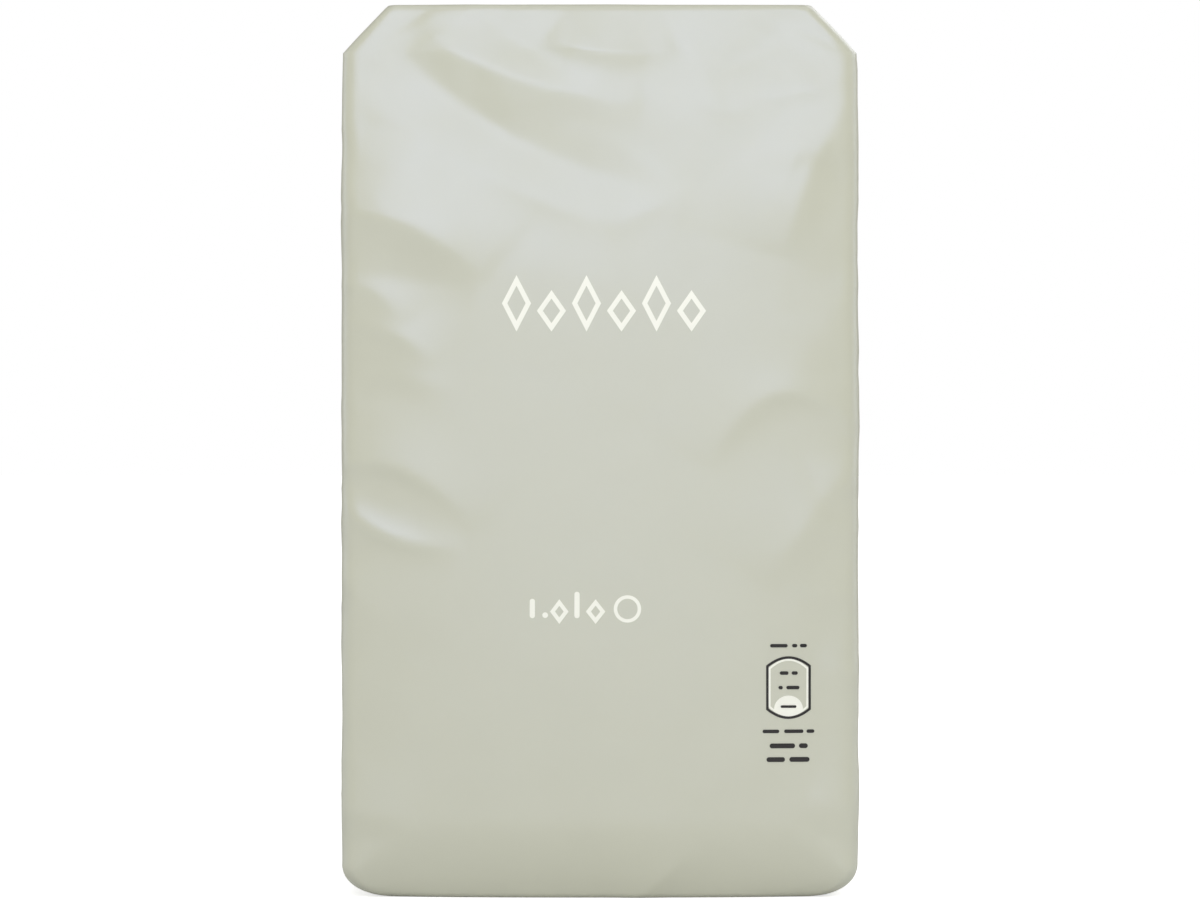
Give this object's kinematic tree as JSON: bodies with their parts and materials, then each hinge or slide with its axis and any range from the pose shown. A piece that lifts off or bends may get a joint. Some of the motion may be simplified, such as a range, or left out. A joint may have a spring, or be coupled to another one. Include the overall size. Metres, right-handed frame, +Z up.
{
  "type": "sugar packet",
  "caption": "Full paper bag of sugar, folded shut at both ends, standing on its flat block bottom.",
  "frame": {"origin": "centre of the bag's box at the level of the flat base it stands on", "axes": "+Z up along the bag's height, +X along its width, -Y out of the printed front"},
  "size_m": [0.1186, 0.0804, 0.204],
  "materials": {
    "coated_paper": "warm light grey coated paper with a soft sheen, printed on the front"
  },
  "bodies": {
    "root": {"sugar_bag": "coated_paper"}
  },
  "joints": []
}
